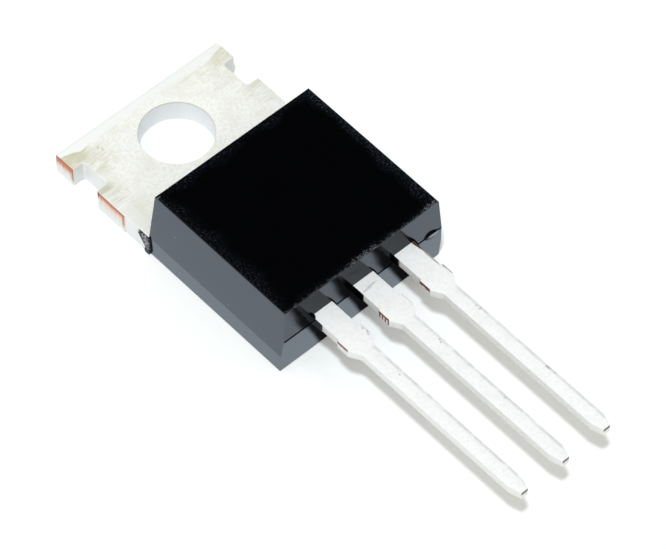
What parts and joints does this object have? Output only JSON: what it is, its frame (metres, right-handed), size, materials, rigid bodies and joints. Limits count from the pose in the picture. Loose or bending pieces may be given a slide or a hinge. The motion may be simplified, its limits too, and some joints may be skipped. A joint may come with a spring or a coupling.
{
  "type": "voltage regulator",
  "caption": "Flat black moulded power package with a notched, bored heat tab and a row of stepped flat leads, lying on its back.",
  "frame": {"origin": "centre of the mounting hole on the back face of the heat tab", "axes": "+Z out of the back face towards the moulding's top, -Y towards the lead tips, +X across the package towards the output lead"},
  "size_m": [0.0101, 0.0294, 0.0045],
  "materials": {
    "moulding_compound": "smooth black moulding compound with a satin gloss",
    "tinned_copper": "matt tin plate over copper, bare copper where it was cut",
    "silicon": "polished dark grey",
    "solder": "dull grey",
    "aluminium_wire": "drawn wire, satin"
  },
  "bodies": {
    "root": {"moulded_body": "moulding_compound", "heat_tab_with_ground_lead": "tinned_copper", "input_lead": "tinned_copper", "output_lead": "tinned_copper", "chip": "silicon", "chip_solder": "solder", "input_wire": "aluminium_wire", "output_wire": "aluminium_wire", "ground_wire": "aluminium_wire"}
  },
  "joints": []
}
